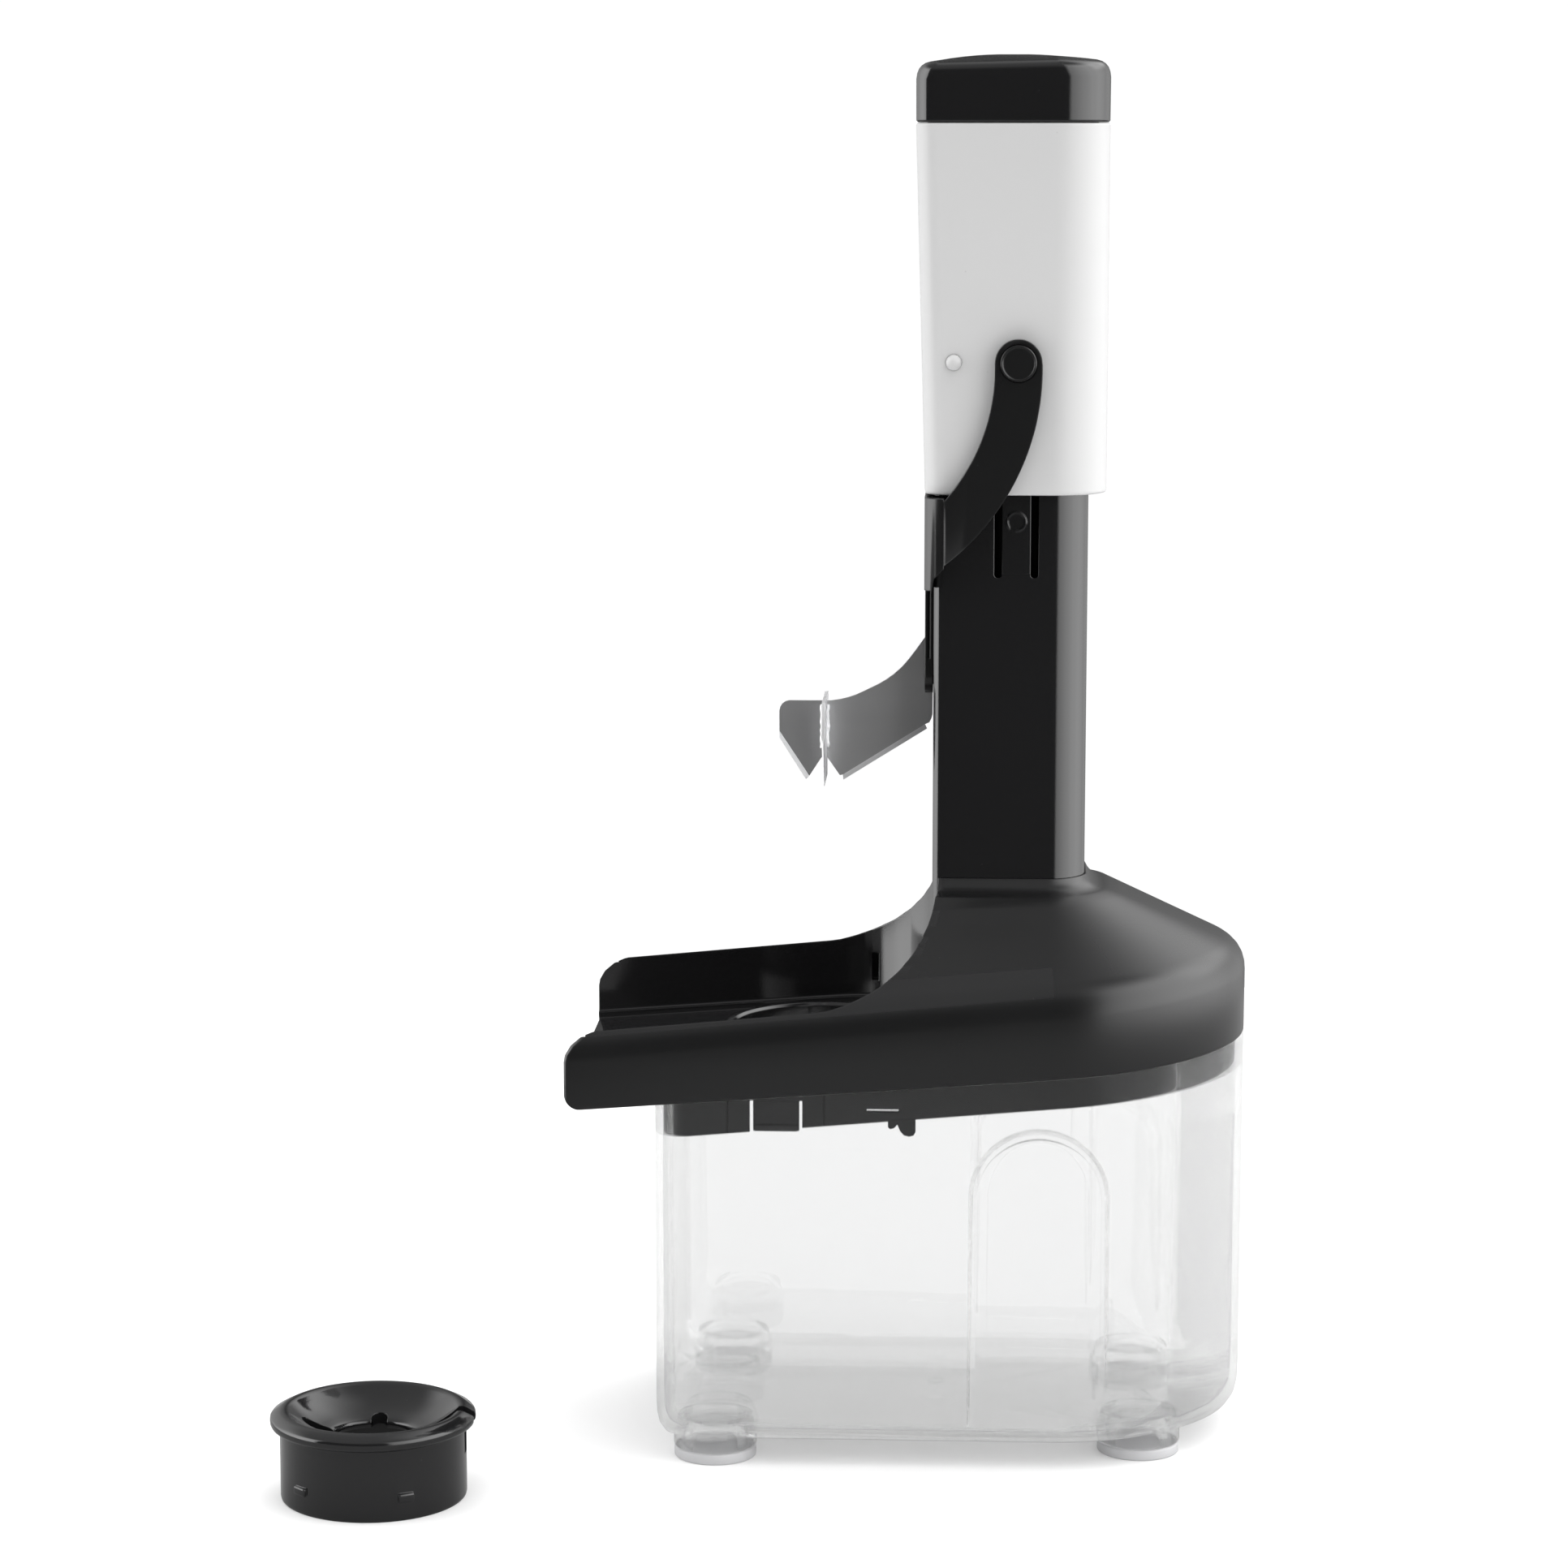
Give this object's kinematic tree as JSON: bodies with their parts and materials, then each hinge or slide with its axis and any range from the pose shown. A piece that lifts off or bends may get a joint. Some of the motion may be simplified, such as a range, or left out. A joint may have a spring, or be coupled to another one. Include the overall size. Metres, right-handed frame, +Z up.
{
  "type": "manual fruit stoner",
  "caption": "Press-down plum and apricot stoner: clear pit container, black hopper with trough and tower, white sliding handle with a cross blade, and a loose ring insert.",
  "frame": {"origin": "centre of the whole set's footprint on the table, the loose ring insert included", "axes": "+X along the trough from its outlet towards the round end, +Z up, -Y towards the side with the insert; the appliance's plane of symmetry is y = 0.026 m"},
  "size_m": [0.2468, 0.1528, 0.359],
  "materials": {
    "clear_plastic": "gloss",
    "black_gloss": "gloss",
    "black_satin": "satin",
    "white_satin": "satin",
    "steel": "brushed",
    "soft_pad": "matte"
  },
  "bodies": {
    "base": {"container": "clear_plastic", "foot_pad_fl": "soft_pad", "foot_pad_fr": "soft_pad", "foot_pad_bl": "soft_pad", "foot_pad_br": "soft_pad"},
    "upper": {"hopper": "black_gloss", "tower": "black_gloss", "tower_plug": "black_satin", "guide_rod": "steel", "return_spring": "steel"},
    "snap_near_b": {"snap_near": "black_gloss"},
    "snap_far_b": {"snap_far": "black_gloss"},
    "tongue_near_b": {"tongue_near": "black_gloss"},
    "tongue_far_b": {"tongue_far": "black_gloss"},
    "handle": {"handle_sleeve": "white_satin", "handle_cap": "black_gloss", "stop_peg_near": "white_satin", "stop_peg_far": "white_satin", "yoke": "black_satin", "pivot_pin_near": "black_satin", "pivot_pin_far": "black_satin", "main_blade": "steel", "cross_blade": "steel", "blade_rivets": "steel"},
    "insert": {"ring_insert": "black_gloss"}
  },
  "joints": [
    {"name": "lift_off", "type": "slide", "parent": "base", "child": "upper", "axis": [0, 0, 1], "range_m": [0, 0.04]},
    {"name": "press", "type": "slide", "parent": "upper", "child": "handle", "axis": [0, 0, -1], "range_m": [0, 0.075], "stiffness_N_per_m": 90, "springref_m": -0.035, "deforming": ["return_spring"]},
    {"name": "tongue_near_flex", "type": "hinge", "parent": "upper", "child": "tongue_near_b", "pos_m": [0.06255, 0.00925, 0.2277], "axis": [-1, 0, 0], "range_deg": [0, 5], "stiffness_Nm_per_rad": 0.6},
    {"name": "tongue_far_flex", "type": "hinge", "parent": "upper", "child": "tongue_far_b", "pos_m": [0.06255, 0.04275, 0.2277], "axis": [1, 0, 0], "range_deg": [0, 5], "stiffness_Nm_per_rad": 0.6},
    {"name": "snap_near_flex", "type": "hinge", "parent": "upper", "child": "snap_near_b", "pos_m": [0.0025, -0.02085, 0.0958], "axis": [1, 0, 0], "range_deg": [0, 8], "stiffness_Nm_per_rad": 0.3},
    {"name": "snap_far_flex", "type": "hinge", "parent": "upper", "child": "snap_far_b", "pos_m": [0.0025, 0.07285, 0.0958], "axis": [-1, 0, 0], "range_deg": [0, 8], "stiffness_Nm_per_rad": 0.3},
    {"name": "insert_lift", "type": "slide", "parent": "base", "child": "insert", "axis": [0, 0, 1], "range_m": [0, 0.03]}
  ]
}
